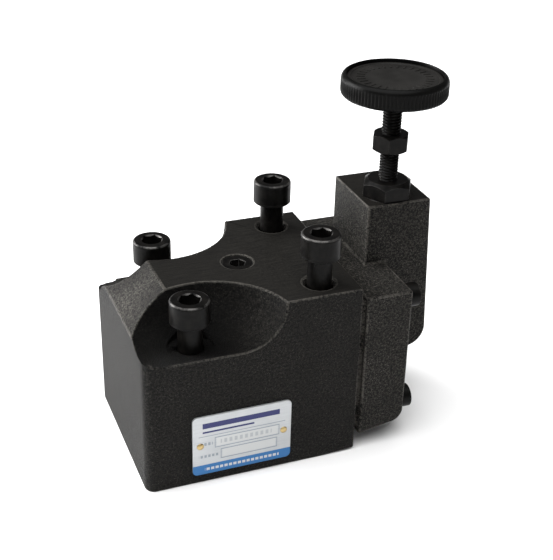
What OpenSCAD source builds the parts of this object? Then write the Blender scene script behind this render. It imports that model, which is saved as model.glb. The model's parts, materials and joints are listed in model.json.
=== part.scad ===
/* [Main body] */
// Length of the main casting along X
body_l = 90.6; // [80:0.1:110]
// Width of the main casting along Y
body_w = 76; // [70:0.5:90]
// Height of the machined top above the mounting face
body_h = 78; // [72:0.5:90]
// Height of the left end at its middle, where the ramp starts
end_h = 64; // [60:0.5:70]
// Length of the ramp from the left end up to the top
ramp_l = 16; // [8:0.5:24]
// Radius of the two upright corners at the left end
corner_r = 4; // [1:0.5:8]
// Mounting bolt spacing, the same along X and Y
bolt_pitch = 53.8; // [50:0.1:60]
// Distance from the left end to the nearer mounting bolts
left_margin = 22.2; // [18:0.1:26]
// Height of the relief under the right end
relief_h = 1; // [0:0.1:3]
// Length of the relief under the right end
relief_l = 13; // [5:0.5:20]

/* [Bolt pockets] */
// Height of the pocket floors above the mounting face
pocket_z = 58.5; // [50:0.5:62]
// Radius of the large bowl of each pocket
bowl_r = 31.5; // [20:0.5:36]
// Fillet between the wall and floor of the large bowl
bowl_fillet = 18; // [8:0.5:20]
// Distance of the large bowl's axis from the left end
bowl_x = 27; // [20:0.5:32]
// Distance of the large bowl's axis outside the side face
bowl_out = 5; // [0:0.5:10]
// Radius of the small bowl of each pocket
nook_r = 20; // [12:0.5:22]
// Fillet between the wall and floor of the small bowl
nook_fillet = 12; // [6:0.5:14]
// Distance of the small bowl's axis from the left end
nook_x = 15; // [12:0.5:20]
// Distance of the small bowl's axis inside the side face
nook_in = 5; // [3:0.5:10]
// Radius of the spot face under each pocket bolt's head
spot_r = 9.2; // [8.5:0.1:10]
// Depth of the spot face below the pocket floor
spot_d = 0.5; // [0.2:0.1:2]

/* [Mounting bolts] */
// Radius of the bolt shank
bolt_r = 5; // [4:0.5:6]
// Radius of the bolt head
bolt_head_r = 8; // [6:0.1:10]
// Height of the bolt head
bolt_head_h = 10; // [6:0.1:12]
// Width across flats of the bolt's hexagon socket
bolt_socket = 8; // [6:0.5:10]
// Depth of the bolt's hexagon socket
bolt_socket_d = 5; // [4.5:0.1:7]
// Radius of the mounting bolt holes
bolt_hole_r = 5.5; // [4.5:0.1:6.5]
// Chamfer at the mouth of the right bolt holes
bolt_hole_chamfer = 1.3; // [0.5:0.1:2]
// Height of the bolt heads above their seats
bolt_lift = 12; // [2:1:20]

/* [Ports] */
// Radius of the pressure and tank ports
port_r = 7.35; // [6:0.05:8]
// Radius of the vent port
vent_r = 2.4; // [1.5:0.1:3]
// Distance of the pressure port from the right bolt line
port_p_x = 22.1; // [20:0.1:24]
// Distance of the tank port from the right bolt line
port_t_x = 47.5; // [45:0.1:50]
// Radius of the recess round the large ports
port_recess_r = 11; // [10:0.1:12]
// Radius of the recess round the vent port
vent_recess_r = 5.4; // [5:0.1:6]
// Depth of the recesses round the ports
port_recess_d = 1.9; // [1.5:0.1:2.5]
// Section diameter of the port seal rings
port_ring_d = 1.8; // [1.5:0.1:2.4]
// Radius of the locating pin hole
locate_r = 3; // [2:0.1:4]
// Depth of the locating pin hole
locate_d = 7; // [5:0.5:10]
// Distance of the locating pin hole from the centre line
locate_y = 17; // [16:0.5:24]
// Radius of the top plug and of its hole
plug_r = 6.5; // [5:0.1:8]
// Length of the top plug
plug_l = 9; // [6:0.5:10]
// Distance from the top plug to the pressure port along X
plug_in = 3; // [0:0.1:8]
// Width across flats of the top plug's socket
plug_socket = 6; // [5:0.5:7]
// Depth of the top plug's socket
plug_socket_d = 5; // [4.5:0.1:6]
// Radius of the drillings between the chambers
drill_r = 2; // [1.5:0.1:2.5]

/* [Main stage] */
// Height of the main bore and of the pilot head's bolt pattern
bore_z = 41.5; // [38:0.5:43]
// Radius of the main bore
bore_r = 11; // [9:0.1:12]
// Radius of the tank gallery beyond the seat
tank_r = 9; // [7:0.1:10]
// Radius of the two ring chambers over the ports
chamber_r = 14; // [12:0.5:15]
// Distance from the seat ring's left end to the pressure port
seat_in = 16.8; // [16:0.1:17.5]
// Length of the seat ring
seat_l = 8; // [6:0.1:9]
// Opening radius of the seat ring
seat_hole_r = 6.5; // [5:0.1:7]
// Length of the cone at the seat ring's mouth
seat_cone = 1.5; // [1:0.1:2]
// Radius of the poppet's stem
stem_r = 8; // [7:0.1:8.5]
// Distance from the pressure port to the poppet's skirt
skirt_out = 7.8; // [7.5:0.1:9]
// Length of the poppet's skirt
skirt_l = 17; // [12:0.5:19]
// Radius of the spring pocket in the poppet
spring_pocket_r = 8; // [6:0.1:9]
// Radius of the orifice in the poppet
orifice_r = 0.6; // [0.4:0.1:1]
// Mean radius of the main spring
main_spring_r = 6.4; // [5:0.1:7]
// Wire diameter of the main spring
main_wire = 1.8; // [1:0.1:2.2]
// Turns of the main spring
main_turns = 6; // [4:1:8]

/* [Pilot head] */
// Gap between the two castings outside the joint pad
joint_gap = 2.2; // [1:0.1:3]
// Distance of the joint pad inside the outline
pad_inset = 2.5; // [2:0.1:5]
// Thickness of the flange along X
flange_t = 20; // [16:0.5:24]
// Reach of the flange below the main bore at the joint
flange_down = 34; // [32:0.5:36]
// Rise of the flange's underside towards its outer end
flange_rise = 2.5; // [0:0.5:4]
// Reach of the flange above the main bore
flange_up = 31.5; // [29:0.5:34]
// Radius of the flange's lower outer edge
flange_edge_r = 6; // [2:0.5:8]
// Distance from the main body to the adjusting screw's axis
screw_out = 26.5; // [24:0.1:30]
// Distance from the tower's left face to the screw axis
tower_left = 13.2; // [11:0.1:16]
// Distance from the tower's right face to the screw axis at the top
tower_right = 15.4; // [11:0.1:18]
// Extra reach of the tower's right face at its foot
tower_draft = 3; // [0:0.5:5]
// Distance from the tower's front face to the screw axis
tower_front = 10.6; // [10.2:0.1:14]
// Distance from the tower's back face to the screw axis
tower_back = 23.7; // [12:0.1:24]
// Reach of the tower below the main bore
tower_down = 13.5; // [10:0.5:18]
// Radius of the tower's lower outer edge
tower_edge_r = 9; // [4:0.5:12]
// Spacing of the flange bolts along Y
flange_bolt_y = 58.5; // [58:0.5:62]
// Spacing of the flange bolts along Z
flange_bolt_z = 50; // [40:0.5:50]
// Radius of the flange bolts
flange_bolt_r = 3; // [2.5:0.1:4]
// Length of the flange bolts under the head
flange_bolt_l = 30; // [26:1:32]
// Radius of the flange bolt heads
flange_head_r = 5; // [4:0.1:6]
// Height of the flange bolt heads
flange_head_h = 6; // [4:0.1:8]
// Width across flats of the flange bolts' sockets
flange_socket = 5; // [4:0.5:6]
// Radius of the plug under the pilot head
small_plug_r = 4; // [3:0.1:5]
// Length of the plug under the pilot head
small_plug_l = 6; // [4:0.5:7]

/* [Pilot stage] */
// Radius of the pilot spring chamber
pilot_r = 7; // [6:0.1:7.5]
// Height of the pilot spring chamber's floor above the main bore
pilot_up = 11.5; // [10.5:0.5:14]
// Radius of the pilot seat
pilot_seat_r = 6; // [5:0.1:6.5]
// Length of the pilot seat
pilot_seat_l = 8; // [6:0.5:8]
// Radius of the hole through the pilot seat
pilot_hole_r = 1.5; // [1:0.1:2]
// Radius of the pilot poppet's stem
pilot_stem_r = 3.4; // [3:0.1:3.6]
// Mean radius of the pilot spring
pilot_spring_r = 5; // [4.6:0.1:5.4]
// Wire diameter of the pilot spring
pilot_wire = 2; // [1:0.1:2.2]
// Turns of the pilot spring
pilot_turns = 4; // [3:1:6]
// Height of the spring plunger above the pilot spring chamber's floor
plunger_up = 24; // [18:0.5:28]
// Length of the spring plunger
plunger_l = 8; // [7:0.5:10]
// Room above the spring plunger
plunger_room = 0.5; // [0.3:0.1:3]
// Section diameter of the plunger's seal ring
plunger_ring_d = 1.8; // [1.5:0.1:2.4]

/* [Adjuster] */
// Radius of the gland nut's threaded shank
gland_r = 8; // [7:0.1:8.5]
// Width across flats of the gland nut
gland_af = 19; // [17:0.5:20]
// Height of the gland nut's hexagon
gland_h = 7; // [5:0.5:10]
// Length of the gland nut's threaded shank
gland_l = 13; // [10:0.5:13.5]
// Section diameter of the gland's seal ring
gland_ring_d = 1.4; // [1:0.1:1.6]
// Radius of the adjusting screw
screw_r = 4; // [3:0.1:5]
// Width across flats of the lock nut
nut_af = 14; // [13:0.5:16]
// Height of the lock nut
nut_h = 7; // [5:0.5:8]
// Height of the lock nut above the tower
nut_up = 20; // [14:0.5:26]
// Radius of the knob
knob_r = 21.8; // [16:0.5:26]
// Height of the knob above the tower
knob_up = 43; // [38:0.5:50]
// Height of the knob's rim
knob_h = 9; // [6:0.5:12]
// Radius of the recess in the knob's top
knob_recess_r = 19.4; // [12:0.5:24]
// Depth of the recess in the knob's top
knob_recess_d = 2.4; // [1:0.1:4]
// Radius of the hub under the knob
hub_r = 5.5; // [5:0.1:8]
// Height of the hub under the knob
hub_h = 1.8; // [0.5:0.1:4]
// Thickness of the disc set in the knob's recess
inlay_t = 1; // [0.5:0.1:1.5]

/* [Nameplate] */
// Length of the nameplate
plate_l = 42; // [30:0.5:50]
// Height of the nameplate
plate_h = 28; // [15:0.5:30]
// Thickness of the nameplate
plate_t = 0.8; // [0.4:0.1:1.5]
// Distance from the left end to the nameplate
plate_x = 19; // [15:0.5:30]
// Height of the nameplate's lower edge
plate_z = 4.6; // [3:0.1:20]
// Corner radius of the nameplate
plate_r = 2; // [1:0.1:3]
// Radius of the nameplate rivets' heads
rivet_r = 1.5; // [1:0.1:2]
// Distance of each rivet from the nameplate's end
rivet_in = 3.2; // [2:0.1:5]

/* [Clearances] */
// Radial clearance of threads and pressed pieces
fit_gap = 0.05; // [0.02:0.01:0.1]
// Radial running clearance of the sliding pieces
run_gap = 0.03; // [0.02:0.01:0.1]
// Gap between a cone and its seat
seat_gap = 0.3; // [0.1:0.05:0.5]

/* [Hidden] */
$fn = 96;
e = 0.01;
x_left = -bolt_pitch / 2 - left_margin;
x_right = x_left + body_l;
flange_x0 = x_right + joint_gap;
flange_x1 = flange_x0 + flange_t;
flange_z0 = bore_z - flange_down;
flange_z1 = flange_z0 + flange_rise;
flange_h = bore_z + flange_up;
half = bolt_pitch / 2;
port_p = half - port_p_x;
port_t = half - port_t_x;
plug_x = port_p - plug_in;
joint_ring_mid = bore_r + 3.6;
joint_ring_d = 2;
small_ring_mid = 3.6;
passage_out = joint_ring_mid + small_ring_mid + joint_ring_d + 1.8;
vent_x = half;
vent_z = bore_z - passage_out;
drain_y = 6;
drain_z = bore_z + passage_out;
cross_x = flange_x0 + 8;
spot_z = pocket_z - spot_d;
bolt_l_left = spot_z + bolt_lift;
bolt_l_right = body_h + bolt_lift;
seat_x0 = port_p - seat_in;
seat_x1 = seat_x0 + seat_l;
skirt_x0 = port_p + skirt_out;
skirt_x1 = skirt_x0 + skirt_l;
pocket_x = skirt_x0 + 3;
web_r = 3;
poppet_tip = 2;
screw_x = x_right + screw_out;
tower_x0 = screw_x - tower_left;
tower_x1 = screw_x + tower_right;
tower_z0 = bore_z - tower_down;
pilot_z0 = bore_z + pilot_up;
pilot_cap_z = pilot_z0 + 5;
pilot_cap_h = 2;
plunger_z0 = pilot_z0 + plunger_up;
screw_z0 = plunger_z0 + plunger_l;
pilot_z1 = screw_z0 + plunger_room;
tower_h = pilot_z1 + gland_l + 1;
nut_z = tower_h + nut_up;
knob_z = tower_h + knob_up;
knob_hole_d = knob_h - knob_recess_d - 1.5;
ring_port_mid = port_recess_r - port_ring_d / 2 - 0.1;
ring_vent_mid = vent_recess_r - port_ring_d / 2 - 0.1;
gland_ring_mid = gland_r + gland_ring_d / 2 + fit_gap;
plunger_ring_mid = pilot_r - run_gap - plunger_ring_d / 2;
plunger_groove_z = plunger_z0 + 3;

module along_x(x) translate([x, 0, bore_z]) rotate([0, 90, 0]) children();

module hex(af, h) cylinder(r = af / sqrt(3), h = h, $fn = 6);

module ring(mid, d) rotate_extrude() translate([mid, 0]) circle(d / 2, $fn = 32);

// A bowl with a flat floor, a rounded foot and an upright wall
module bowl(r, fillet) {
  top = body_h - pocket_z + 5;
  rotate_extrude() intersection() {
    square([r, top]);
    union() {
      square([r - fillet, top]);
      translate([0, fillet]) square([r, top]);
      translate([r - fillet, fillet]) circle(fillet);
    }
  }
}

// The two bowls and spot face of one pocket, on the side s
module pocket(s) {
  translate([x_left + bowl_x, s * (body_w / 2 + bowl_out), pocket_z])
    bowl(bowl_r, bowl_fillet);
  translate([x_left + nook_x, s * (body_w / 2 - nook_in), pocket_z])
    bowl(nook_r, nook_fillet);
  translate([-half, s * half, spot_z]) cylinder(r = spot_r, h = body_h);
}

// A socket screw pointing down, with its head seated on z = 0
module socket_screw(r, l, head_r, head_h, socket, socket_d) {
  translate([0, 0, -l]) cylinder(r = r, h = l + e);
  difference() {
    cylinder(r = head_r, h = head_h);
    translate([0, 0, head_h - socket_d]) hex(socket, socket_d + 1);
  }
}

// A wire wound about Z from z0 to z1
module coil(mid, wire, turns, z0, z1) {
  sides = 8;
  steps = turns * 20;
  lift = z1 - z0 - wire;
  points = [for (i = [0:steps]) for (j = [0:sides - 1])
    let (a = 360 * turns * i / steps, b = 360 * j / sides, q = mid + wire / 2 * cos(b))
    [q * cos(a), q * sin(a), z0 + wire / 2 + lift * i / steps + wire / 2 * sin(b)]];
  walls = [for (i = [0:steps - 1]) for (j = [0:sides - 1])
    let (k = (j + 1) % sides)
    [i * sides + j, i * sides + k, (i + 1) * sides + k, (i + 1) * sides + j]];
  first = [for (j = [sides - 1:-1:0]) j];
  last = [for (j = [0:sides - 1]) steps * sides + j];
  polyhedron(points, concat([first], walls, [last]), convexity = 8);
}

module main_body() color([0.30, 0.29, 0.27]) difference() {
  translate([x_left, body_w / 2, 0]) rotate([90, 0, 0]) linear_extrude(body_w)
    polygon([[0, 0], [body_l - relief_l, 0], [body_l, relief_h], [body_l, body_h],
      [ramp_l, body_h], [0, end_h]]);
  for (s = [-1, 1]) pocket(s);
  for (s = [-1, 1]) difference() {
    translate([x_left - 1, s > 0 ? body_w / 2 - corner_r : -body_w / 2 - 1, -1])
      cube([corner_r + 1, corner_r + 1, body_h + 2]);
    translate([x_left + corner_r, s * (body_w / 2 - corner_r), -2])
      cylinder(r = corner_r, h = body_h + 4);
  }
  for (i = [-1, 1]) for (j = [-1, 1])
    translate([i * half, j * half, -1]) cylinder(r = bolt_hole_r, h = body_h + 2);
  for (j = [-1, 1]) translate([half, j * half, body_h - bolt_hole_chamfer])
    cylinder(r1 = bolt_hole_r, r2 = bolt_hole_r + bolt_hole_chamfer + 1,
      h = bolt_hole_chamfer + 1);
  translate([plug_x, 0, body_h - plug_l - 1]) cylinder(r = plug_r, h = plug_l + 2);
  translate([plug_x, 0, bore_z]) cylinder(r = drill_r, h = body_h - bore_z - plug_l);
  for (x = [port_p, port_t]) translate([x, 0, -1]) {
    cylinder(r = port_r, h = bore_z + 1);
    cylinder(r = port_recess_r, h = port_recess_d + 1);
  }
  translate([vent_x, 0, -1]) {
    cylinder(r = vent_r, h = vent_z + 1);
    cylinder(r = vent_recess_r, h = port_recess_d + 1);
  }
  translate([vent_x, 0, vent_z]) rotate([0, 90, 0])
    cylinder(r = drill_r, h = body_l);
  translate([port_t, drain_y, bore_z]) cylinder(r = drill_r, h = drain_z - bore_z);
  translate([port_t, drain_y, drain_z]) rotate([0, 90, 0])
    cylinder(r = drill_r, h = body_l);
  translate([port_p, -locate_y, -1]) cylinder(r = locate_r, h = locate_d + 1);
  along_x(seat_x0) cylinder(r = bore_r, h = body_l);
  along_x(port_t - port_r) cylinder(r = tank_r, h = body_l / 2);
  for (x = [port_p, port_t]) along_x(x - port_r) cylinder(r = chamber_r, h = 2 * port_r);
  for (y = [-1, 1]) for (z = [-1, 1])
    translate([x_right - flange_bolt_l + flange_t + joint_gap - 1,
      y * flange_bolt_y / 2, bore_z + z * flange_bolt_z / 2])
      rotate([0, 90, 0]) cylinder(r = flange_bolt_r + fit_gap, h = body_l);
}

module main_seat() color([0.55, 0.55, 0.57]) difference() {
  along_x(seat_x0) cylinder(r = bore_r - fit_gap, h = seat_x1 - seat_x0);
  along_x(seat_x0 - 1) cylinder(r = seat_hole_r, h = seat_x1 - seat_x0 + 2);
  along_x(seat_x1 - seat_cone) cylinder(r1 = seat_hole_r,
    r2 = seat_hole_r + seat_cone + 1, h = seat_cone + 1);
}

module main_poppet() color([0.62, 0.62, 0.64]) difference() {
  union() {
    along_x(seat_x1 + seat_gap - poppet_tip)
      cylinder(r1 = stem_r - poppet_tip, r2 = stem_r, h = poppet_tip);
    along_x(seat_x1 + seat_gap) cylinder(r = stem_r, h = skirt_x0 - seat_x1);
    along_x(skirt_x0) cylinder(r = bore_r - run_gap, h = skirt_l);
  }
  along_x(pocket_x) cylinder(r = spring_pocket_r, h = skirt_l);
  along_x(port_p - 2) cylinder(r = web_r, h = skirt_l);
  translate([port_p, 0, bore_z]) cylinder(r = orifice_r, h = stem_r + 1);
}

module main_spring() color([0.45, 0.46, 0.48])
  along_x(0) coil(main_spring_r, main_wire, main_turns, pocket_x, x_right);

module gauge_plug() color([0.25, 0.25, 0.26]) difference() {
  translate([plug_x, 0, body_h - plug_l - 0.5])
    cylinder(r = plug_r - fit_gap, h = plug_l);
  translate([plug_x, 0, body_h - plug_socket_d - 0.5]) hex(plug_socket, plug_socket_d + 1);
}

module pilot_body() color([0.31, 0.30, 0.28]) difference() {
  union() {
    translate([x_right, -body_w / 2 + pad_inset, flange_z0 + pad_inset])
      cube([joint_gap + 1, body_w - 2 * pad_inset, flange_h - flange_z0 - 2 * pad_inset]);
    translate([0, body_w / 2, 0]) rotate([90, 0, 0]) linear_extrude(body_w) union() {
      polygon([[flange_x0, flange_z0], [flange_x1 - flange_edge_r, flange_z1],
        [flange_x1 - flange_edge_r, flange_h], [flange_x0, flange_h]]);
      translate([flange_x1 - flange_edge_r - 1, flange_z1 + flange_edge_r])
        square([flange_edge_r + 1, flange_h - flange_z1 - flange_edge_r]);
      translate([flange_x1 - flange_edge_r, flange_z1 + flange_edge_r])
        circle(flange_edge_r);
    }
    translate([0, tower_back, 0]) rotate([90, 0, 0])
      linear_extrude(tower_front + tower_back) union() {
        polygon([[tower_x0, tower_z0], [tower_x1 + tower_draft - tower_edge_r, tower_z0],
          [tower_x1 + tower_draft - tower_edge_r, tower_z0 + tower_edge_r],
          [tower_x1 + tower_draft, tower_z0 + tower_edge_r], [tower_x1, tower_h],
          [tower_x0, tower_h]]);
        translate([tower_x1 + tower_draft - tower_edge_r, tower_z0 + tower_edge_r])
          circle(tower_edge_r);
      }
  }
  translate([screw_x, 0, 0]) {
    translate([0, 0, pilot_z1]) cylinder(r = gland_r, h = tower_h);
    translate([0, 0, tower_h - gland_ring_d - 0.1])
      cylinder(r = gland_r + gland_ring_d + 0.1, h = 5);
    translate([0, 0, pilot_z0]) cylinder(r = pilot_r, h = tower_h);
    translate([0, 0, pilot_z0 - pilot_seat_l]) cylinder(r = pilot_seat_r, h = tower_h);
    translate([0, 0, bore_z - drill_r]) cylinder(r = drill_r, h = tower_h - bore_z);
  }
  along_x(x_right - 1) cylinder(r = drill_r, h = screw_x - x_right + 1);
  translate([x_right - 1, drain_y, drain_z]) rotate([0, 90, 0])
    cylinder(r = drill_r, h = screw_x - x_right + 1);
  translate([x_right - 1, 0, vent_z]) rotate([0, 90, 0])
    cylinder(r = drill_r, h = cross_x - x_right + 1);
  translate([cross_x, 0, 0]) cylinder(r = drill_r, h = bore_z);
  translate([cross_x, 0, -1]) cylinder(r = small_plug_r, h = flange_z1 + small_plug_l + 1);
  along_x(x_right - 1) joint_groove(joint_ring_mid, joint_ring_d);
  translate([x_right - 1, 0, vent_z]) rotate([0, 90, 0])
    joint_groove(small_ring_mid, joint_ring_d);
  translate([x_right - 1, drain_y, drain_z]) rotate([0, 90, 0])
    joint_groove(small_ring_mid, joint_ring_d);
  for (y = [-1, 1]) for (z = [-1, 1])
    translate([x_right - 1, y * flange_bolt_y / 2, bore_z + z * flange_bolt_z / 2])
      rotate([0, 90, 0]) cylinder(r = flange_bolt_r + 0.3, h = flange_t + joint_gap + 2);
}

// A ring groove from 1 mm outside the joint face to its floor
module joint_groove(mid, d) difference() {
  cylinder(r = mid + d / 2 + 0.1, h = d + 1);
  translate([0, 0, -1]) cylinder(r = mid - d / 2 - 0.1, h = d + 3);
}

module pilot_flange_bolts() color([0.20, 0.20, 0.21])
  for (y = [-1, 1]) for (z = [-1, 1])
    translate([flange_x1, y * flange_bolt_y / 2, bore_z + z * flange_bolt_z / 2])
      rotate([0, 90, 0]) socket_screw(flange_bolt_r, flange_bolt_l, flange_head_r,
        flange_head_h, flange_socket, flange_head_h / 2);

module pilot_passage_plug() color([0.25, 0.25, 0.26]) difference() {
  translate([cross_x, 0, flange_z1]) cylinder(r = small_plug_r - fit_gap, h = small_plug_l);
  translate([cross_x, 0, flange_z1 - 1]) hex(small_plug_r, small_plug_l / 2 + 1);
}

module joint_ring() color([0.09, 0.09, 0.09])
  along_x(x_right + joint_ring_d / 2) ring(joint_ring_mid, joint_ring_d);

module vent_joint_ring() color([0.09, 0.09, 0.09])
  translate([x_right + joint_ring_d / 2, 0, vent_z]) rotate([0, 90, 0])
    ring(small_ring_mid, joint_ring_d);

module drain_joint_ring() color([0.09, 0.09, 0.09])
  translate([x_right + joint_ring_d / 2, drain_y, drain_z]) rotate([0, 90, 0])
    ring(small_ring_mid, joint_ring_d);

module port_p_ring() color([0.09, 0.09, 0.09])
  translate([port_p, 0, port_recess_d - port_ring_d / 2]) ring(ring_port_mid, port_ring_d);

module port_t_ring() color([0.09, 0.09, 0.09])
  translate([port_t, 0, port_recess_d - port_ring_d / 2]) ring(ring_port_mid, port_ring_d);

module vent_port_ring() color([0.09, 0.09, 0.09])
  translate([vent_x, 0, port_recess_d - port_ring_d / 2]) ring(ring_vent_mid, port_ring_d);

module pilot_seat() color([0.55, 0.55, 0.57]) translate([screw_x, 0, 0]) difference() {
  translate([0, 0, pilot_z0 - pilot_seat_l])
    cylinder(r = pilot_seat_r - fit_gap, h = pilot_seat_l);
  translate([0, 0, pilot_z0 - pilot_seat_l - 1])
    cylinder(r = pilot_hole_r, h = pilot_seat_l + 2);
  translate([0, 0, pilot_z0 - 1]) cylinder(r1 = pilot_hole_r, r2 = pilot_hole_r + 2, h = 2);
}

module pilot_poppet() color([0.62, 0.62, 0.64]) translate([screw_x, 0, 0]) {
  translate([0, 0, pilot_z0 + seat_gap - 1])
    cylinder(r1 = pilot_hole_r, r2 = pilot_stem_r, h = pilot_stem_r - pilot_hole_r);
  translate([0, 0, pilot_z0 + seat_gap - 1 + pilot_stem_r - pilot_hole_r - e])
    cylinder(r = pilot_stem_r, h = pilot_cap_z - pilot_z0);
  translate([0, 0, pilot_cap_z]) cylinder(r = pilot_spring_r + pilot_wire / 2 - 0.5,
    h = pilot_cap_h);
  translate([0, 0, pilot_cap_z]) cylinder(r = pilot_spring_r - pilot_wire / 2 - 0.5,
    h = pilot_cap_h + 3);
}

module pilot_spring() color([0.45, 0.46, 0.48]) translate([screw_x, 0, 0])
  coil(pilot_spring_r, pilot_wire, pilot_turns, pilot_cap_z + pilot_cap_h, plunger_z0);

module spring_plunger() color([0.55, 0.55, 0.57]) translate([screw_x, 0, 0]) {
  difference() {
    translate([0, 0, plunger_z0]) cylinder(r = pilot_r - run_gap, h = plunger_l);
    translate([0, 0, plunger_groove_z]) difference() {
      cylinder(r = pilot_r + 1, h = plunger_ring_d + 0.2);
      translate([0, 0, -1])
        cylinder(r = plunger_ring_mid - plunger_ring_d / 2 - fit_gap, h = plunger_ring_d + 3);
    }
  }
  translate([0, 0, plunger_z0 - 3])
    cylinder(r = pilot_spring_r - pilot_wire / 2 - 0.5, h = 3 + e);
}

module plunger_ring() color([0.09, 0.09, 0.09])
  translate([screw_x, 0, plunger_groove_z + 0.1 + plunger_ring_d / 2])
    ring(plunger_ring_mid, plunger_ring_d);

module gland_nut() color([0.20, 0.20, 0.21]) translate([screw_x, 0, 0]) difference() {
  union() {
    translate([0, 0, tower_h - gland_l]) cylinder(r = gland_r - fit_gap, h = gland_l + e);
    intersection() {
      translate([0, 0, tower_h]) hex(gland_af, gland_h);
      translate([0, 0, tower_h]) union() {
        cylinder(r = gland_af, h = gland_h - 2);
        translate([0, 0, gland_h - 2 - e])
          cylinder(r1 = gland_af / 2 + 1.4, r2 = gland_af / 2 - 1.2, h = 2 + e);
      }
    }
  }
  translate([0, 0, tower_h - gland_l - 1])
    cylinder(r = screw_r + fit_gap, h = gland_l + gland_h + 2);
}

module gland_ring() color([0.09, 0.09, 0.09])
  translate([screw_x, 0, tower_h - gland_ring_d / 2]) ring(gland_ring_mid, gland_ring_d);

module adjusting_screw() color([0.18, 0.18, 0.19])
  translate([screw_x, 0, screw_z0])
    cylinder(r = screw_r, h = knob_z + knob_hole_d - screw_z0);

module lock_nut() color([0.20, 0.20, 0.21]) translate([screw_x, 0, nut_z]) difference() {
  intersection() {
    hex(nut_af, nut_h);
    union() {
      cylinder(r1 = nut_af / 2, r2 = nut_af / 2 + 1.4, h = 1);
      translate([0, 0, 1 - e]) cylinder(r = nut_af, h = nut_h - 2 + 2 * e);
      translate([0, 0, nut_h - 1]) cylinder(r1 = nut_af / 2 + 1.4, r2 = nut_af / 2, h = 1);
    }
  }
  translate([0, 0, -1]) cylinder(r = screw_r + fit_gap, h = nut_h + 2);
}

module knob() color([0.12, 0.12, 0.12]) translate([screw_x, 0, knob_z]) difference() {
  union() {
    translate([0, 0, 0]) cylinder(r1 = knob_r - 1, r2 = knob_r, h = 1);
    translate([0, 0, 1 - e]) cylinder(r = knob_r, h = knob_h - 2 + e);
    translate([0, 0, knob_h - 1 - e]) cylinder(r1 = knob_r, r2 = knob_r - 1, h = 1 + e);
    translate([0, 0, -hub_h]) cylinder(r = hub_r, h = hub_h + 1);
  }
  translate([0, 0, knob_h - knob_recess_d]) cylinder(r = knob_recess_r, h = knob_h);
  translate([0, 0, -hub_h - 1]) cylinder(r = screw_r + fit_gap, h = hub_h + 1 + knob_hole_d);
}

module knob_inlay() color([0.24, 0.24, 0.24])
  translate([screw_x, 0, knob_z + knob_h - knob_recess_d])
    cylinder(r = knob_recess_r - fit_gap, h = inlay_t);

// One mounting bolt of length l, standing on the mounting face
module mounting_bolt(i, j, l) color([0.18, 0.18, 0.19])
  translate([i * half, j * half, l])
    socket_screw(bolt_r, l, bolt_head_r, bolt_head_h, bolt_socket, bolt_socket_d);

module bolt_front_left() mounting_bolt(-1, -1, bolt_l_left);

module bolt_back_left() mounting_bolt(-1, 1, bolt_l_left);

module bolt_front_right() mounting_bolt(1, -1, bolt_l_right);

module bolt_back_right() mounting_bolt(1, 1, bolt_l_right);

module nameplate() color([0.80, 0.81, 0.82])
  translate([x_left + plate_x, -body_w / 2, plate_z]) rotate([90, 0, 0]) difference() {
    linear_extrude(plate_t) union() {
      translate([plate_r, 0]) square([plate_l - 2 * plate_r, plate_h]);
      translate([0, plate_r]) square([plate_l, plate_h - 2 * plate_r]);
      for (x = [plate_r, plate_l - plate_r]) for (z = [plate_r, plate_h - plate_r])
        translate([x, z]) circle(plate_r, $fn = 48);
    }
    for (x = [rivet_in, plate_l - rivet_in])
      translate([x, plate_h / 2, -1]) cylinder(r = rivet_r / 2 + fit_gap, h = plate_t + 2);
  }

module nameplate_rivets() color([0.62, 0.52, 0.30])
  for (x = [rivet_in, plate_l - rivet_in])
    translate([x_left + plate_x + x, -body_w / 2, plate_z + plate_h / 2])
      rotate([90, 0, 0]) {
        cylinder(r = rivet_r / 2, h = plate_t + e);
        translate([0, 0, plate_t]) cylinder(r1 = rivet_r, r2 = rivet_r / 2, h = 0.6);
      }

main_body();
main_seat();
main_poppet();
main_spring();
gauge_plug();
pilot_body();
pilot_flange_bolts();
pilot_passage_plug();
joint_ring();
vent_joint_ring();
drain_joint_ring();
port_p_ring();
port_t_ring();
vent_port_ring();
pilot_seat();
pilot_poppet();
pilot_spring();
spring_plunger();
plunger_ring();
gland_nut();
gland_ring();
adjusting_screw();
lock_nut();
knob();
knob_inlay();
bolt_front_left();
bolt_back_left();
bolt_front_right();
bolt_back_right();
nameplate();
nameplate_rivets();
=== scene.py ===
import json
import math
import bmesh
import bpy
from mathutils import Matrix, Vector
from mathutils.bvhtree import BVHTree


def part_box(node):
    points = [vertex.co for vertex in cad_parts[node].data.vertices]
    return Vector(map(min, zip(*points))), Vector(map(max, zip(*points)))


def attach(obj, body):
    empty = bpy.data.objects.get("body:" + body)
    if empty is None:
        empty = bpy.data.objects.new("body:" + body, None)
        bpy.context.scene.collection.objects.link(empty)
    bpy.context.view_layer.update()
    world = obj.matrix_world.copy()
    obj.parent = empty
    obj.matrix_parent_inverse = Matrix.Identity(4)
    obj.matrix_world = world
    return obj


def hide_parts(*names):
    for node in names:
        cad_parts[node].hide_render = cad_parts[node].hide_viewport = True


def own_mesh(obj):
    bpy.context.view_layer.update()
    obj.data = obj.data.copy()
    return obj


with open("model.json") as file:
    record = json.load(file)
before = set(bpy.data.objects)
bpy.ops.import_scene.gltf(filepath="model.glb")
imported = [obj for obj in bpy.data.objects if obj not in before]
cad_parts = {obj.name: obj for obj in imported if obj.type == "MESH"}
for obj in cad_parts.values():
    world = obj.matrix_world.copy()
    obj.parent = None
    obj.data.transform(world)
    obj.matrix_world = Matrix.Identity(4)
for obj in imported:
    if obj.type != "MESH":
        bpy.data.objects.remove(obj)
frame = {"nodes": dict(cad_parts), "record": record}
bpy.ops.object.select_all(action="DESELECT")
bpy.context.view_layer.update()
print("frame loaded:", len(frame["nodes"]), "nodes")

mm = 0.001


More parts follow.
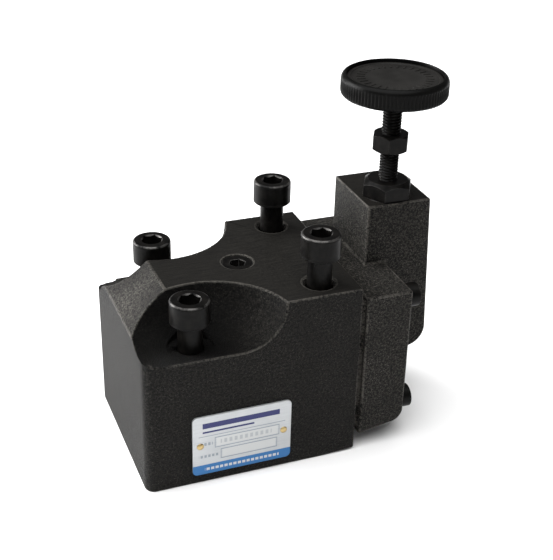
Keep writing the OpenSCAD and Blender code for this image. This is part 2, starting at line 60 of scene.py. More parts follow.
# one output of a shader node, so that node sums read like plain sums
class Wire:
    def __init__(self, finish, socket):
        self.finish, self.socket = finish, socket

    def calc(self, operation, *values):
        return self.finish.add("Math", {"operation": operation}, dict(enumerate(values)))

    def __add__(self, other):
        return self.calc("ADD", self, other)

    def __radd__(self, other):
        return self.calc("ADD", other, self)

    def __sub__(self, other):
        return self.calc("SUBTRACT", self, other)

    def __rsub__(self, other):
        return self.calc("SUBTRACT", other, self)

    def __mul__(self, other):
        return self.calc("MULTIPLY", self, other)

    def __truediv__(self, other):
        return self.calc("DIVIDE", self, other)

    def __gt__(self, other):
        return self.calc("GREATER_THAN", self, other)

    def __lt__(self, other):
        return self.calc("LESS_THAN", self, other)

    def most(self, other):
        return self.calc("MAXIMUM", self, other)

    def ramp(self, low, high, start=0.0, end=1.0):
        return self.finish.add("MapRange", {"clamp": True}, {
            "Value": self, "From Min": low, "From Max": high, "To Min": start, "To Max": end})


# one material, with its nodes added by name and joined to the main shader
class Finish:
    def __init__(self, name, **fixed):
        self.material = bpy.data.materials.new(name)
        self.material.use_nodes = True
        self.nodes = self.material.node_tree.nodes
        self.links = self.material.node_tree.links
        self.shader = self.nodes["Principled BSDF"]
        for socket, value in fixed.items():
            self.shader.inputs[socket.replace("_", " ")].default_value = value
        self.place = self.add("TexCoord", out="Object")

    def add(self, kind, settings=None, values=None, out=0):
        node = self.nodes.new("ShaderNode" + kind)
        for key, value in (settings or {}).items():
            setattr(node, key, value)
        for key, value in (values or {}).items():
            if isinstance(value, Wire):
                self.links.new(value.socket, node.inputs[key])
            else:
                node.inputs[key].default_value = value
        return Wire(self, node.outputs[out])

    def axes(self):
        split = self.add("SeparateXYZ", values={0: self.place})
        outs = split.socket.node.outputs
        return [Wire(self, outs[i]) for i in range(3)]

    def noise(self, size, detail=3.0, rough=0.55, stretch=(1, 1, 1)):
        at = self.add("VectorMath", {"operation": "MULTIPLY"}, {0: self.place, 1: stretch})
        return self.add("TexNoise", values={
            "Vector": at, "Scale": 1 / size, "Detail": detail, "Roughness": rough}, out="Fac")

    def blend(self, factor, first, second):
        def paint(value):
            return value if isinstance(value, Wire) else (*value, 1.0)
        return self.add("Mix", {"data_type": "RGBA"}, {
            0: factor, 6: paint(first), 7: paint(second)}, out=2)

    def wearAndGlint(self):
        return self.add("Attribute", {"attribute_name": "wearAndGlint"}, out="Fac")

    def feed(self, socket, value):
        self.links.new(value.socket, self.shader.inputs[socket])

    def bump(self, height, depth, strength=1.0):
        values = {"Height": height, "Distance": depth, "Strength": strength}
        return self.add("Bump", values=values, out="Normal")


castValues = {
    "dark": (0.0010, 0.0009, 0.0008), "mid": (0.019, 0.0176, 0.0150),
    "bright": (0.150, 0.140, 0.124), "edge": (0.100, 0.094, 0.084),
    "machined": (0.0040, 0.0037, 0.0033), "grain": 0.95 * mm, "roughness": 0.60,
    "milledSkin": 0.25 * mm, "pocketShadeNear": 10 * mm, "pocketShadeFar": 30 * mm,
    "bodyShade": 0.62, "headShade": 1.35}


# rough iron casting under thin black paint, with faces milled flat at heights low and high.
# pockets holds the centres of the bolt pockets, where the paint darkens as painted shade above height
# floor, and slope the start, height, rise and end of the ramp, which gets painted highlight glints
def castIron(name, low, high, shade, pockets=(), floor=0.0, slope=None):
    v = castValues
    mid, bright = (tuple(shade * c for c in v[k]) for k in ("mid", "bright"))
    f = Finish(name, IOR=1.22)
    x, y, z = f.axes()
    grain = f.noise(v["grain"], 5, 0.62)
    fine = f.noise(v["grain"] * 0.36, 3, 0.6)
    cloud = f.noise(14 * mm, 3, 0.5)
    flat = (z > high - v["milledSkin"]).most(z < low + v["milledSkin"])
    lines = f.noise(0.5 * mm, 2, 0.5, (0.05, 1, 1))
    paint = f.blend(grain.ramp(0.44, 0.60), v["dark"], mid)
    speck = fine.ramp(0.54, 0.68) * grain.ramp(0.40, 0.56) * cloud.ramp(0.3, 0.7, 0.4, 1.0)
    paint = f.blend(speck, paint, bright)
    if slope:
        start, height, rise, end = slope
        # painted highlight: bright glints speckled over the ramp, standing in for the left light catching
        # its rough face
        above = z - (x - start) * rise > height - 0.5 * mm
        rampGlint = fine.ramp(0.42, 0.60) * grain.ramp(0.38, 0.58) * above * (x < end)
        paint = f.blend(rampGlint * 0.85, paint, v["bright"])
    for across, along in pockets:
        away = (x - across) * (x - across) + (y - along) * (y - along)
        # painted shade: the paint darkens towards each bolt axis inside the pocket, standing in for the
        # shadow there
        inside = away.ramp(v["pocketShadeNear"] ** 2, v["pocketShadeFar"] ** 2, 1.0, 0.0) * (z > floor)
        paint = f.blend(inside * 0.9, paint, v["dark"])
    top = f.blend(lines.ramp(0.35, 0.75, 0.0, 0.6), v["machined"], v["mid"])
    paint = f.blend(flat * 0.85, paint, top)
    # marked edges turn lighter: partly paint worn off, partly painted highlight where edges catch the light
    edgeWearAndGlint = f.wearAndGlint() * (grain * 0.7 + cloud * 0.5).ramp(0.48, 0.72)
    f.feed("Base Color", f.blend(edgeWearAndGlint * 0.75, paint, v["edge"]))
    rough = v["roughness"] + (grain - 0.5) * 0.35 - flat * 0.08 - edgeWearAndGlint * 0.14
    f.feed("Roughness", rough)
    f.feed("Metallic", edgeWearAndGlint * 0.5)
    height = (grain * 0.75 + fine * 0.5) * (1 - flat * 0.93) + lines * flat * 0.05
    f.feed("Normal", f.bump(height + cloud * 0.2, 1.3 * mm, 1.0))
    return f.material


steelValues = {
    "black": (0.0022, 0.0021, 0.0020), "brown": (0.0070, 0.0063, 0.0056), "edge": (0.16, 0.155, 0.15)}


# black oxide over turned steel
def blackSteel(name):
    v = steelValues
    f = Finish(name, IOR=1.18)
    cloud = f.noise(3.5 * mm, 4, 0.6)
    fine = f.noise(0.22 * mm, 2, 0.5)
    turned = f.noise(0.35 * mm, 2, 0.5, (0.04, 0.04, 1))
    paint = f.blend(cloud.ramp(0.42, 0.72), v["black"], v["brown"])
    # marked edges and chamfers turn lighter: partly wear, partly painted highlight
    edgeWearAndGlint = f.wearAndGlint() * cloud.ramp(0.38, 0.58)
    f.feed("Base Color", f.blend(edgeWearAndGlint * 0.45, paint, v["edge"]))
    f.feed("Roughness", 0.26 + cloud * 0.16 + (fine - 0.5) * 0.16)
    f.feed("Metallic", edgeWearAndGlint * 0.6)
    f.feed("Normal", f.bump(turned + fine * 0.5, 0.03 * mm, 0.5))
    return f.material


def brightSteel(name, tint=(0.46, 0.46, 0.47), dull=(0.30, 0.30, 0.31), roughness=0.24):
    f = Finish(name)
    cloud = f.noise(2.5 * mm, 4, 0.6)
    turned = f.noise(0.25 * mm, 2, 0.5, (1, 1, 0.06))
    f.feed("Base Color", f.blend(cloud.ramp(0.35, 0.7), tint, dull))
    f.feed("Roughness", roughness + cloud * 0.15)
    f.feed("Metallic", 0.94 + cloud * 0.06)
    f.feed("Normal", f.bump(turned, 0.02 * mm, 0.4))
    return f.material


def sealRubber(name):
    f = Finish(name, IOR=1.5)
    fine = f.noise(0.3 * mm, 3, 0.6)
    cloud = f.noise(4 * mm, 2, 0.5)
    f.feed("Base Color", f.blend(cloud, (0.011, 0.011, 0.011), (0.022, 0.021, 0.020)))
    f.feed("Roughness", 0.50 + fine * 0.2)
    f.feed("Normal", f.bump(fine, 0.03 * mm, 0.4))
    return f.material


def mouldedPlastic(name, dark, light, roughness):
    f = Finish(name, IOR=1.15)
    grain = f.noise(0.45 * mm, 3, 0.55)
    cloud = f.noise(9 * mm, 3, 0.5)
    paint = f.blend(cloud.ramp(0.3, 0.7), dark, light)
    # marked edges turn lighter, partly wear and partly painted highlight
    f.feed("Base Color", f.blend(f.wearAndGlint() * 0.55, paint, tuple(4 * c for c in light)))
    f.feed("Roughness", roughness + (grain - 0.5) * 0.16 + (cloud - 0.5) * 0.12)
    f.feed("Normal", f.bump(grain, 0.05 * mm, 0.5))
    return f.material


plateValues = {
    "metal": (0.50, 0.515, 0.525), "shade": (0.42, 0.435, 0.45), "blue": (0.010, 0.125, 0.34),
    "navy": (0.006, 0.010, 0.100), "line": (0.24, 0.27, 0.30), "field": (0.50, 0.51, 0.51)}


# printed aluminium plate: a mark of plain bars, a ruled table and a coloured foot
def printedPlate(name, low, high):
    v = plateValues
    f = Finish(name, IOR=1.5)
    x, y, z = f.axes()
    u, w = (x - low.x) / (high.x - low.x), (z - low.z) / (high.z - low.z)
    front = y < low.y + 0.35 * mm

    def patch(left, right, foot, top):
        return (u > left) * (u < right) * (w > foot) * (w < top)

    brushed = f.noise(0.35 * mm, 3, 0.6, (0.03, 1, 1))
    cloud = f.noise(7 * mm, 3, 0.5)
    paint = f.blend((brushed * 0.6 + cloud * 0.4).ramp(0.35, 0.68), v["metal"], v["shade"])
    mark = patch(0.10, 0.88, 0.795, 0.885).most(patch(0.10, 0.62, 0.715, 0.745))
    field = patch(0.24, 0.86, 0.46, 0.60).most(patch(0.30, 0.84, 0.25, 0.38))
    rules = patch(0.06, 0.94, 0.655, 0.667)
    for left, right, foot, top in ((0.22, 0.88, 0.605, 0.62), (0.22, 0.88, 0.435, 0.45),
                                   (0.28, 0.86, 0.385, 0.40), (0.28, 0.86, 0.225, 0.24),
                                   (0.22, 0.228, 0.435, 0.62), (0.872, 0.88, 0.435, 0.62),
                                   (0.28, 0.288, 0.225, 0.40), (0.852, 0.86, 0.225, 0.40)):
        rules = rules.most(patch(left, right, foot, top))
    dash = (u * 26).calc("FRACT", u * 26, 0) < 0.62
    small = (patch(0.06, 0.20, 0.50, 0.55).most(patch(0.06, 0.26, 0.29, 0.335))) * dash
    stamp = ((u * 19).calc("FRACT", u * 19, 0) < 0.55) * patch(0.28, 0.80, 0.495, 0.565)
    foot = w < 0.165
    footDash = patch(0.12, 0.88, 0.06, 0.105) * ((u * 22).calc("FRACT", u * 22, 0) < 0.7)
    paint = f.blend(field * front, paint, v["field"])
    paint = f.blend(rules.most(small) * front, paint, v["line"])
    paint = f.blend(stamp * front * 0.55, paint, v["line"])
    paint = f.blend(mark * front, paint, v["navy"])
    paint = f.blend(foot * front, paint, v["blue"])
    paint = f.blend(footDash * front, paint, v["field"])
    printed = (mark.most(foot)).most(field) * front
    f.feed("Base Color", paint)
    f.feed("Metallic", 0.55 - printed * 0.5)
    f.feed("Roughness", 0.42 + brushed * 0.14 - printed * 0.08)
    f.feed("Normal", f.bump(brushed * 0.3 + stamp * front * -0.6, 0.04 * mm, 0.5))
    return f.material


def plainBacking(name):
    f = Finish(name)
    f.shader.inputs["Base Color"].default_value = (0.93, 0.93, 0.93, 1)
    f.feed("Roughness", 0.8 + f.noise(20 * mm) * 0.1)
    return f.material


bodyValues = {
    "edge": 0.7 * mm, "headEdge": 0.8 * mm, "plugEdge": 0.25 * mm, "nutEdge": 0.3 * mm,
    "screwEdge": 0.35 * mm, "plateEdge": 0.12 * mm, "endHeight": 64 * mm, "rampLength": 16 * mm,
    "rampRise": 14 / 16, "cornerDrop": 4.5 * mm, "dropLength": 15 * mm, "dropWidth": 12 * mm}
boltValues = {
    "headRadius": 8 * mm, "headHeight": 10 * mm, "lift": 12 * mm, "shank": 5 * mm, "socket": 8 * mm,
    "socketDepth": 5 * mm, "pitch": 1.5 * mm, "threadDepth": 0.75 * mm, "threadLength": 30 * mm,
    "ribs": 48, "ribDepth": 0.16 * mm, "seatGap": 0.05 * mm}

lowBody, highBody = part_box("main_body")
lowBolt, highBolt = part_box("bolt_front_left")
boltAt = (lowBolt + highBolt) / 2
spotFace = highBolt.z - boltValues["headHeight"] - boltValues["lift"]
lowHead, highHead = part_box("pilot_body")
lowPlate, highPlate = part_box("nameplate")
finishes = {
    "body_cast": castIron(
        "castBodyIron", lowBody.z, highBody.z, castValues["bodyShade"],
        ((boltAt.x, boltAt.y), (boltAt.x, -boltAt.y)), spotFace - 0.3 * mm,
        (lowBody.x, lowBody.z + bodyValues["endHeight"], bodyValues["rampRise"],
         lowBody.x + bodyValues["rampLength"])),
    "head_cast": castIron("castHeadIron", lowHead.z - 1, highHead.z, castValues["headShade"]),
    "bright_steel": brightSteel("turnedSteel"),
    "spring_steel": brightSteel("springWire", (0.30, 0.30, 0.31), (0.18, 0.18, 0.19), 0.3),
    "black_steel": blackSteel("blackOxideSteel"),
    "seal_rubber": sealRubber("nitrileRubber"),
    "knob_plastic": mouldedPlastic("knobPlastic", (0.0014, 0.0014, 0.0013), (0.0034, 0.0033, 0.0031), 0.38),
    # the inlay is coloured lighter than the knob: partly a grey insert, partly a painted reflection of the
    # sky on its upturned face
    "inlay_plastic": mouldedPlastic("inlayPlastic", (0.010, 0.0096, 0.0090), (0.018, 0.0172, 0.0162), 0.36),
    "plate_metal": printedPlate("printedPlate", lowPlate, highPlate),
    "rivet_brass": brightSteel("rivetBrass", (0.55, 0.42, 0.20), (0.38, 0.28, 0.13), 0.28)}
slots = {part["node"]: part["material_slot"] for part in frame["record"]["subparts"]}
bodyOf = {node: body for body, nodes in frame["record"]["behaviour"]["bodies"].items() for node in nodes}
for name, node in frame["nodes"].items():
    node.data.materials.clear()
    node.data.materials.append(finishes[slots[name]])
print("finishes made:", len(finishes))


def pick(obj):
    bpy.ops.object.select_all(action="DESELECT")
    obj.select_set(True)
    bpy.context.view_layer.objects.active = obj


def applyAll(obj):
    pick(obj)
    for modifier in list(obj.modifiers):
        bpy.ops.object.modifier_apply(modifier=modifier.name)


# hands a finished piece over in place of its part, smooth where it curves
def finishPiece(obj, name, node, angle=32):
    applyAll(obj)
    obj.name = obj.data.name = name
    bpy.ops.object.shade_smooth_by_angle(angle=math.radians(angle))
    weigh = obj.modifiers.new("weigh", "WEIGHTED_NORMAL")
    weigh.keep_sharp = True
    applyAll(obj)
    obj.data.materials.clear()
    obj.data.materials.append(finishes[slots[node]])
    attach(obj, bodyOf[node])
    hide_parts(node)
    pick(obj)
    obj.select_set(False)
    return obj


strayShare = 0.45


# a copy of a part with its clear edges rounded, apart from those that skip names, and the rounded strips
# marked for lighter paint, partly edge wear and partly painted highlight. Short edges that rim names are
# merged first, and stray points drawn back
def softened(node, width, steps=2, angle=30, rim=None, clamp=True, skip=None):
    source = frame["nodes"][node]
    skin = BVHTree.FromPolygons(
        [v.co for v in source.data.vertices], [p.vertices for p in source.data.polygons])
    obj = bpy.data.objects.new(node + "Soft", source.data.copy())
    bpy.context.scene.collection.objects.link(obj)
    pick(obj)
    bpy.ops.object.mode_set(mode="EDIT")
    bpy.ops.mesh.select_all(action="SELECT")
    bpy.ops.mesh.remove_doubles(threshold=1e-6)
    bpy.ops.mesh.dissolve_limited(angle_limit=math.radians(0.3))
    bpy.ops.mesh.select_mode(type="EDGE")
    work = bmesh.from_edit_mesh(obj.data)
    limit = math.radians(angle)

    def clear(edge):
        return len(edge.link_faces) == 2 and edge.calc_face_angle(0) > limit

    if rim:
        bpy.ops.mesh.select_all(action="DESELECT")
        for edge in work.edges:
            if clear(edge) and rim(edge):
                edge.select_set(True)
        bmesh.update_edit_mesh(obj.data)
        bpy.ops.mesh.remove_doubles(threshold=width * 0.9)
        work = bmesh.from_edit_mesh(obj.data)
    bpy.ops.mesh.select_all(action="DESELECT")
    for edge in work.edges:
        if clear(edge) and not (skip and skip(edge)):
            edge.select_set(True)
    bmesh.update_edit_mesh(obj.data)
    bpy.ops.mesh.bevel(offset=width, segments=steps, profile=0.5, clamp_overlap=clamp)
    work = bmesh.from_edit_mesh(obj.data)
    layer = work.faces.layers.float.new("wearAndGlint")
    for face in work.faces:
        thin = face.calc_area() < 0.7 * width * face.calc_perimeter()
        face[layer] = 1.0 if face.select and thin else 0.0
    bmesh.update_edit_mesh(obj.data)
    bpy.ops.object.mode_set(mode="OBJECT")
    strays = 0
    low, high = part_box(node)
    for vertex in obj.data.vertices:
        near, _, _, distance = skin.find_nearest(vertex.co)
        if distance > strayShare * width:
            vertex.co = near
            strays += 1
        for i in range(3):
            vertex.co[i] = min(max(vertex.co[i], low[i]), high[i])
    print(node, "stray corners drawn back:", strays)
    return obj


# a turned piece from a list of (radius, height) points, closed on the axis
def turned(profile, centre, steps):
    bpy.ops.object.select_all(action="DESELECT")
    bpy.ops.mesh.primitive_circle_add(vertices=len(profile), radius=0.01)
    obj = bpy.context.object
    bpy.ops.object.mode_set(mode="EDIT")
    work = bmesh.from_edit_mesh(obj.data)
    work.verts.ensure_lookup_table()
    for vertex, (r, z) in zip(work.verts, profile):
        vertex.co = (centre[0] + r, centre[1], z)
    first, last = work.verts[0], work.verts[len(profile) - 1]
    for edge in [e for e in first.link_edges if last in e.verts]:
        work.edges.remove(edge)
    bmesh.update_edit_mesh(obj.data)
    bpy.ops.mesh.select_all(action="SELECT")
    bpy.ops.mesh.spin(steps=steps, angle=2 * math.pi, center=(centre[0], centre[1], 0), axis=(0, 0, 1))
    bpy.ops.mesh.select_all(action="SELECT")
    bpy.ops.mesh.remove_doubles(threshold=2e-6)
    bpy.ops.mesh.normals_make_consistent(inside=False)
    bpy.ops.object.mode_set(mode="OBJECT")
    return obj


# presses ribs round a turned piece between two heights
def rib(obj, centre, low, high, reach, count, depth):
    for vertex in obj.data.vertices:
        dx, dy = vertex.co.x - centre[0], vertex.co.y - centre[1]
        r = math.hypot(dx, dy)
        if low <= vertex.co.z <= high and r > reach:
            wave = 0.5 - 0.5 * math.cos(math.atan2(dy, dx) * count)
            scale = (r - depth * wave) / r
            vertex.co.x, vertex.co.y = centre[0] + dx * scale, centre[1] + dy * scale


# winds a thread into the rings of a turned piece between two heights
def thread(obj, centre, low, high, pitch, depth):
    for vertex in obj.data.vertices:
        dx, dy = vertex.co.x - centre[0], vertex.co.y - centre[1]
        r = math.hypot(dx, dy)
        if low <= vertex.co.z <= high and r > 3 * depth:
            turn = (vertex.co.z / pitch - math.atan2(dy, dx) / (2 * math.pi)) % 1
            cut = depth * min(1.0, max(0.0, abs(2 * turn - 1) * 1.35 - 0.15))
            fade = min(1, (vertex.co.z - low) / pitch, (high - vertex.co.z) / pitch)
            scale = (r - cut * max(fade, 0)) / r
            vertex.co.x, vertex.co.y = centre[0] + dx * scale, centre[1] + dy * scale


def rings(radius, low, high, step):
    count = max(1, round((high - low) / step))
    return [(radius, low + (high - low) * i / count) for i in range(count + 1)]


def cut(obj, tool):
    pick(obj)
    modifier = obj.modifiers.new("cut", "BOOLEAN")
    modifier.operation, modifier.object, modifier.solver = "DIFFERENCE", tool, "EXACT"
    bpy.ops.object.modifier_apply(modifier=modifier.name)
    bpy.data.objects.remove(tool)


# cuts a hexagon key socket
def socketTool(centre, top, flats, depth):
    bpy.ops.object.select_all(action="DESELECT")
    bpy.ops.mesh.primitive_cylinder_add(
        vertices=6, radius=flats / math.sqrt(3), depth=depth + 2 * mm,
        location=(centre[0], centre[1], top - depth / 2 + mm), rotation=(0, 0, math.radians(30)))
    tool = bpy.context.object
    pick(tool)
    bpy.ops.object.transform_apply(location=True, rotation=True, scale=True)
    return tool


# cuts the turned mouth of a socket
def mouthTool(centre, top, radius):
    bpy.ops.object.select_all(action="DESELECT")
    bpy.ops.mesh.primitive_cone_add(
        vertices=48, radius1=radius * 0.8, radius2=radius * 1.2, depth=radius * 0.4,
        location=(centre[0], centre[1], top))
    tool = bpy.context.object
    pick(tool)
    bpy.ops.object.transform_apply(location=True, rotation=True, scale=True)
    return tool


def copyOf(obj, name, shift):
    twin = bpy.data.objects.new(name, obj.data.copy())
    bpy.context.scene.collection.objects.link(twin)
    twin.data.transform(Matrix.Translation(shift))
    return twin


# true for an edge inside a bolt pocket, away from its rim
def inPocket(edge):
    middle = (edge.verts[0].co + edge.verts[1].co) / 2
    along = (middle.x - lowBody.x) / bodyValues["rampLength"]
    end = lowBody.z + bodyValues["endHeight"]
    roof = end + min(along, 1) * (highBody.z - end)
    return spotFace - 1 * mm < middle.z < roof - 0.3 * mm and abs(middle.y) < highBody.y - 0.3 * mm \
        and lowBody.x + 0.3 * mm < middle.x < 0 and abs(middle.y) > 4 * mm


# true for a short edge on the rim of a bolt pocket
def pocketRim(edge):
    middle = (edge.verts[0].co + edge.verts[1].co) / 2
    return edge.calc_length() < 2.5 * mm and middle.z > lowBody.z + 56 * mm \
        and abs(middle.y) > 9 * mm and not inPocket(edge)


# lowers the far left corner of the back pocket, where the casting falls away
def lowerCorner(obj):
    v = bodyValues
    for vertex in obj.data.vertices:
        along = (lowBody.x + v["dropLength"] - vertex.co.x) / v["dropLength"]
        across = min(1, (vertex.co.y - highBody.y + v["dropWidth"]) / v["dropWidth"] * 1.4)
        if vertex.co.z > spotFace - 0.2 * mm and along > 0 and across > 0:
            vertex.co.z -= v["cornerDrop"] * along ** 1.6 * across * across * (3 - 2 * across)
    return obj


castBody = softened("main_body", bodyValues["edge"], 2, 30, pocketRim, False, inPocket)
finishPiece(lowerCorner(castBody), "castBody", "main_body")
finishPiece(softened("pilot_body", bodyValues["headEdge"], 3, 30, None, False), "castHead", "pilot_body")
for node, name, edge in (("gauge_plug", "gaugePlug", bodyValues["plugEdge"]),
                         ("pilot_passage_plug", "passagePlug", bodyValues["plugEdge"]),
                         ("gland_nut", "glandNut", bodyValues["nutEdge"]),
                         ("lock_nut", "lockNut", bodyValues["nutEdge"]),
                         ("pilot_flange_bolts", "flangeScrews", bodyValues["screwEdge"]),
                         ("nameplate", "namePlate", bodyValues["plateEdge"])):
    finishPiece(softened(node, edge), name, node)
print("castings, plugs and nuts softened")


def mountingScrew(node):
    v = boltValues
    low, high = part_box(node)
    c = ((low.x + high.x) / 2, (low.y + high.y) / 2)
    seat, top, r, s = high.z - v["headHeight"], high.z, v["headRadius"], v["shank"]
    profile = [(0, low.z), (s * 0.78, low.z)]
    profile += rings(s, low.z + mm, low.z + v["threadLength"], v["pitch"] / 6)
    under = seat + v["seatGap"]
    profile += [(s, seat - 0.5 * mm), (s, under), (r - 0.4 * mm, under), (r, seat + 0.4 * mm)]
    profile += [(r, seat + 1.1 * mm), (r, seat + 1.3 * mm), (r, top - 2.1 * mm), (r, top - 1.9 * mm)]
    profile += [(r, top - 1.1 * mm), (r - 0.1 * mm, top - 0.7 * mm), (r - 0.35 * mm, top - 0.3 * mm)]
    profile += [(r - 0.8 * mm, top - 0.05 * mm), (r - 1.2 * mm, top), (0, top)]
    screw = turned(profile, c, 96)
    rib(screw, c, seat + 1.25 * mm, top - 2.05 * mm, r - 0.1 * mm, v["ribs"], v["ribDepth"])
    thread(screw, c, low.z + 0.9 * mm, low.z + v["threadLength"], v["pitch"], v["threadDepth"])
    cut(screw, socketTool(c, top, v["socket"], v["socketDepth"]))
    cut(screw, mouthTool(c, top, v["socket"] / math.sqrt(3) * 0.99))
    # painted highlight: the head's top chamfer ring is marked for the lighter edge colour
    layer = screw.data.attributes.new("wearAndGlint", "FLOAT", "FACE")
    for face in screw.data.polygons:
        slope = face.center.z > top - 0.9 * mm and 0.1 < face.normal.z < 0.97
        layer.data[face.index].value = 1.0 if slope else 0.0
    return screw


for side in ("left", "right"):
    front = mountingScrew("bolt_front_" + side)
    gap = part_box("bolt_back_" + side)[0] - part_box("bolt_front_" + side)[0]
    back = copyOf(front, "back", gap)
    finishPiece(front, "screwFront" + side.title(), "bolt_front_" + side)
    finishPiece(back, "screwBack" + side.title(), "bolt_back_" + side)
print("mounting screws made")

adjustValues = {"pitch": 1.25 * mm, "threadDepth": 0.6 * mm}
lowScrew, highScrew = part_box("adjusting_screw")
screwAt = ((lowScrew.x + highScrew.x) / 2, (lowScrew.y + highScrew.y) / 2)
screwRadius = (highScrew.x - lowScrew.x) / 2
profile = [(0, lowScrew.z), (screwRadius - 0.6 * mm, lowScrew.z)]
profile += rings(screwRadius, lowScrew.z + 0.6 * mm, highScrew.z - 0.6 * mm, adjustValues["pitch"] / 6)
profile += [(screwRadius - 0.6 * mm, highScrew.z), (0, highScrew.z)]
spindle = turned(profile, screwAt, 40)
thread(spindle, screwAt, lowScrew.z + 0.6 * mm, highScrew.z - 0.6 * mm,
       adjustValues["pitch"], adjustValues["threadDepth"])
finishPiece(spindle, "adjustingSpindle", "adjusting_screw")

knobValues = {"ribs": 90, "ribDepth": 0.45 * mm, "steps": 360}
lowKnob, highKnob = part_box("knob")
knobRadius = (highKnob.x - lowKnob.x) / 2
lowInlay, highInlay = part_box("knob_inlay")
inlayRadius = (highInlay.x - lowInlay.x) / 2
hub, rimTop = 1.8 * mm, highKnob.z
base = lowKnob.z + hub
holeTop = rimTop - 3.9 * mm
profile = [(0, holeTop), (4.05 * mm, holeTop), (4.05 * mm, lowKnob.z), (5.3 * mm, lowKnob.z),
           (5.5 * mm, lowKnob.z + 0.2 * mm), (5.6 * mm, base - 0.4 * mm), (6.1 * mm, base),
           (knobRadius - 3.0 * mm, base), (knobRadius - 1.6 * mm, base + 0.15 * mm),
           (knobRadius - 0.7 * mm, base + 0.55 * mm), (knobRadius - 0.2 * mm, base + 1.2 * mm)]
profile += rings(knobRadius, base + 1.8 * mm, rimTop - 2.6 * mm, 2 * mm)
profile += [(knobRadius - 0.10 * mm, rimTop - 1.9 * mm), (knobRadius - 0.4 * mm, rimTop - 1.1 * mm),
            (knobRadius - 0.95 * mm, rimTop - 0.45 * mm), (knobRadius - 1.6 * mm, rimTop - 0.1 * mm),
            (knobRadius - 2.0 * mm, rimTop), (inlayRadius + 0.25 * mm, rimTop - 0.15 * mm),
            (inlayRadius + 0.05 * mm, rimTop - 0.5 * mm), (inlayRadius + 0.05 * mm, lowInlay.z),
            (0, lowInlay.z)]
knob = turned(profile, screwAt, knobValues["steps"])
rib(knob, screwAt, base + 1.7 * mm, rimTop - 2.5 * mm, knobRadius - 0.5 * mm,
    knobValues["ribs"], knobValues["ribDepth"])
finishPiece(knob, "adjustingKnob", "knob", 40)

inlayValues = {"ridges": 30, "ridgeLow": 12.2 * mm, "ridgeHigh": 15.6 * mm, "ridgeWidth": 0.9 * mm}
profile = [(0, lowInlay.z), (inlayRadius, lowInlay.z), (inlayRadius, highInlay.z - 0.3 * mm),
           (inlayRadius - 0.3 * mm, highInlay.z), (inlayRadius - 1.4 * mm, highInlay.z),
           (inlayRadius - 1.7 * mm, highInlay.z - 0.25 * mm), (0, highInlay.z - 0.25 * mm)]
inlay = turned(profile, screwAt, 120)
v = inlayValues
bpy.ops.object.select_all(action="DESELECT")
bpy.ops.mesh.primitive_cube_add(size=1, location=(0, 0, 0))
ridge = bpy.context.object
ridge.data.transform(Matrix.Diagonal((v["ridgeHigh"] - v["ridgeLow"], v["ridgeWidth"], 0.4 * mm, 1)))
ridge.data.transform(Matrix.Translation(((v["ridgeLow"] + v["ridgeHigh"]) / 2, 0, 0)))
pick(ridge)
bpy.ops.object.mode_set(mode="EDIT")
bpy.ops.mesh.select_all(action="SELECT")
bpy.ops.mesh.bevel(offset=0.12 * mm, segments=2)
bpy.ops.object.mode_set(mode="OBJECT")
place = Matrix.Translation((screwAt[0], screwAt[1], highInlay.z - 0.22 * mm))
ridges = []
for i in range(v["ridges"]):
    twin = copyOf(ridge, "ridge", (0, 0, 0))
    twin.data.transform(place @ Matrix.Rotation(2 * math.pi * i / v["ridges"], 4, "Z"))
    ridges.append(twin)
bpy.data.objects.remove(ridge)
pick(inlay)
for twin in ridges:
    twin.select_set(True)
bpy.ops.object.join()
finishPiece(inlay, "knobInlay", "knob_inlay")
print("adjuster made")

lowRivets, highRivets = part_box("nameplate_rivets")
rivetRadius = (highRivets.z - lowRivets.z) / 2
rivetZ = (lowRivets.z + highRivets.z) / 2
profile = [(0, 0), (0.75 * mm, 0), (0.75 * mm, 0.8 * mm), (rivetRadius, 0.8 * mm)]
profile += [(rivetRadius * math.cos(math.radians(a)), 0.85 * mm + 0.55 * mm * math.sin(math.radians(a)))
            for a in (0, 20, 40, 60, 80)] + [(0, 1.4 * mm)]
rivetLeft = turned(profile, (0, 0), 32)
depth = highRivets.y - lowRivets.y
rivetLeft.data.transform(Matrix.Scale(depth / (1.4 * mm), 4, (0, 0, 1)))
rivetLeft.data.transform(Matrix.Rotation(math.radians(90), 4, "X"))
rivetLeft.data.transform(Matrix.Translation((lowRivets.x + rivetRadius, highRivets.y, rivetZ)))
rivetRight = copyOf(rivetLeft, "rivetRight", Vector((highRivets.x - lowRivets.x - 2 * rivetRadius, 0, 0)))
pick(rivetLeft)
rivetRight.select_set(True)
bpy.ops.object.join()
finishPiece(rivetLeft, "plateRivets", "nameplate_rivets")
print("plate rivets made")

# the two springs, copied as they stand; each entry lists the coil's name, the slide that presses it, its
# axis and its travel
springValues = {
    "main_spring": ("mainCoil", "main_poppet_slide", (1, 0, 0), 6.0 * mm),
    "pilot_spring": ("settingCoil", "plunger_slide", (0, 0, 1), 6.25 * mm)}
for node, (name, joint, axis, travel) in springValues.items():
    coil = finishPiece(copyOf(frame["nodes"][node], name, (0, 0, 0)), name, node)
    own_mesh(coil)
print("springs made")

# floor, camera and light
stageValues = {"floorSize": 6.0, "camera": (-0.1366, -0.3918, 0.2961), "azimuth": -21.7,
               "elevation": 28.58, "roll": 1.51, "lens": 73.55}
bpy.ops.object.select_all(action="DESELECT")
bpy.ops.mesh.primitive_plane_add(size=stageValues["floorSize"], location=(0, 0, 0))
floor = bpy.context.object
floor.name = "floor"
floor.data.materials.append(plainBacking("paleFloor"))

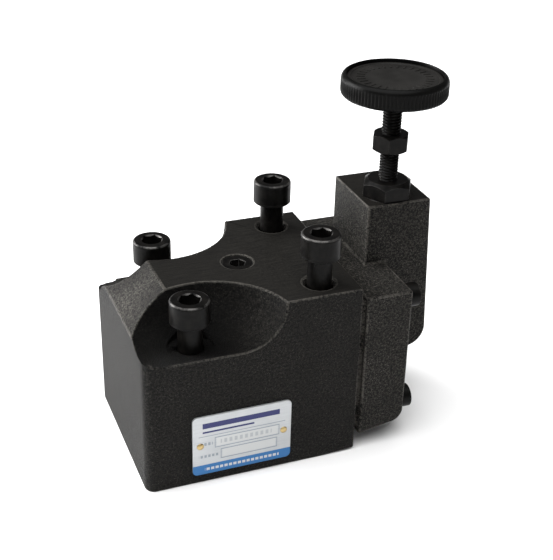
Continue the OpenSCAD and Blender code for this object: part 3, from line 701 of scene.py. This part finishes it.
a, e, r = (math.radians(stageValues[k]) for k in ("azimuth", "elevation", "roll"))
forward = Vector((-math.sin(a) * math.cos(e), math.cos(a) * math.cos(e), -math.sin(e)))
side = forward.cross(Vector((0, 0, 1))).normalized()
up = side.cross(forward)
side, up = side * math.cos(r) + up * math.sin(r), up * math.cos(r) - side * math.sin(r)
camera = bpy.data.objects.new("camera", bpy.data.cameras.new("camera"))
bpy.context.scene.collection.objects.link(camera)
camera.data.lens = stageValues["lens"]
camera.data.clip_start = 0.01
turn = Matrix((side, up, -forward)).transposed()
camera.matrix_world = Matrix.Translation(stageValues["camera"]) @ turn.to_4x4()
bpy.context.scene.camera = camera

lightValues = {
    "top": {"place": (-0.30, -0.15, 1.3), "spread": 75, "power": 4.5},
    "left": {"place": (-0.90, 0.70, 0.50), "size": 0.8, "power": 30.0},
    "front": {"place": (-0.25, -0.95, 0.55), "size": 0.6, "power": 0.3}}
for name, v in lightValues.items():
    kind = "SUN" if "spread" in v else "AREA"
    light = bpy.data.objects.new(name + "Light", bpy.data.lights.new(name + "Light", kind))
    bpy.context.scene.collection.objects.link(light)
    light.data.energy = v["power"]
    if kind == "SUN":
        light.data.angle = math.radians(v["spread"])
    else:
        light.data.shape, light.data.size = "SQUARE", v["size"]
    aim = Vector((0, 0, 0.06)) - Vector(v["place"])
    light.matrix_world = Matrix.Translation(v["place"]) @ aim.to_track_quat("-Z", "Y").to_matrix().to_4x4()

# the backdrop shows plain white and lights the object only a little
worldValues = {"toCamera": 1.0, "toObject": 0.12}
world = bpy.data.worlds.new("studio")
bpy.context.scene.world = world
world.use_nodes = True
background = world.node_tree.nodes["Background"]
background.inputs["Color"].default_value = (1, 1, 1, 1)
path = world.node_tree.nodes.new("ShaderNodeLightPath")
level = world.node_tree.nodes.new("ShaderNodeMapRange")
level.inputs["To Min"].default_value = worldValues["toObject"]
level.inputs["To Max"].default_value = worldValues["toCamera"]
world.node_tree.links.new(path.outputs["Is Camera Ray"], level.inputs["Value"])
world.node_tree.links.new(level.outputs["Result"], background.inputs["Strength"])
bpy.context.scene.view_settings.view_transform = "Standard"
print("stage set")
